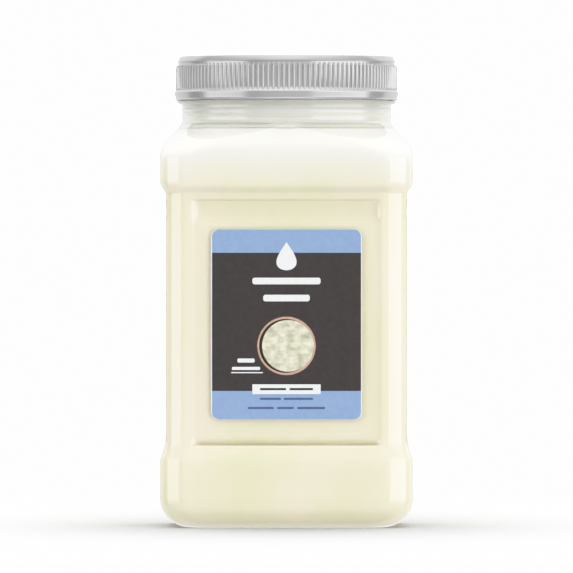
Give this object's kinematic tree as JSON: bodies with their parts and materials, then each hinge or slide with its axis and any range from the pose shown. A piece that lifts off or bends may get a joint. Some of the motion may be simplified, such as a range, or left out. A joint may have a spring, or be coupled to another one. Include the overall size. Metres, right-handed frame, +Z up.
{
  "type": "powdered milk jar",
  "caption": "Clear square plastic jar with rounded corners and a recessed waist, full of milk powder, with a ribbed screw lid and a front label.",
  "frame": {"origin": "middle of the base's bounding box, on the surface that the jar stands on", "axes": "+Z up through the lid, -Y out of the front, which carries the label, +X to the right seen from the front"},
  "size_m": [0.139, 0.139, 0.2589],
  "materials": {
    "clear_plastic": "clear moulded plastic, smooth and glossy",
    "milk_powder": "fine matte cream powder",
    "lid_plastic": "pale grey moulded plastic, satin",
    "label_paper": "printed label, charcoal with pale blue bands, satin"
  },
  "bodies": {
    "root": {"jar": "clear_plastic", "powder": "milk_powder", "lid": "lid_plastic", "label": "label_paper"}
  },
  "joints": []
}
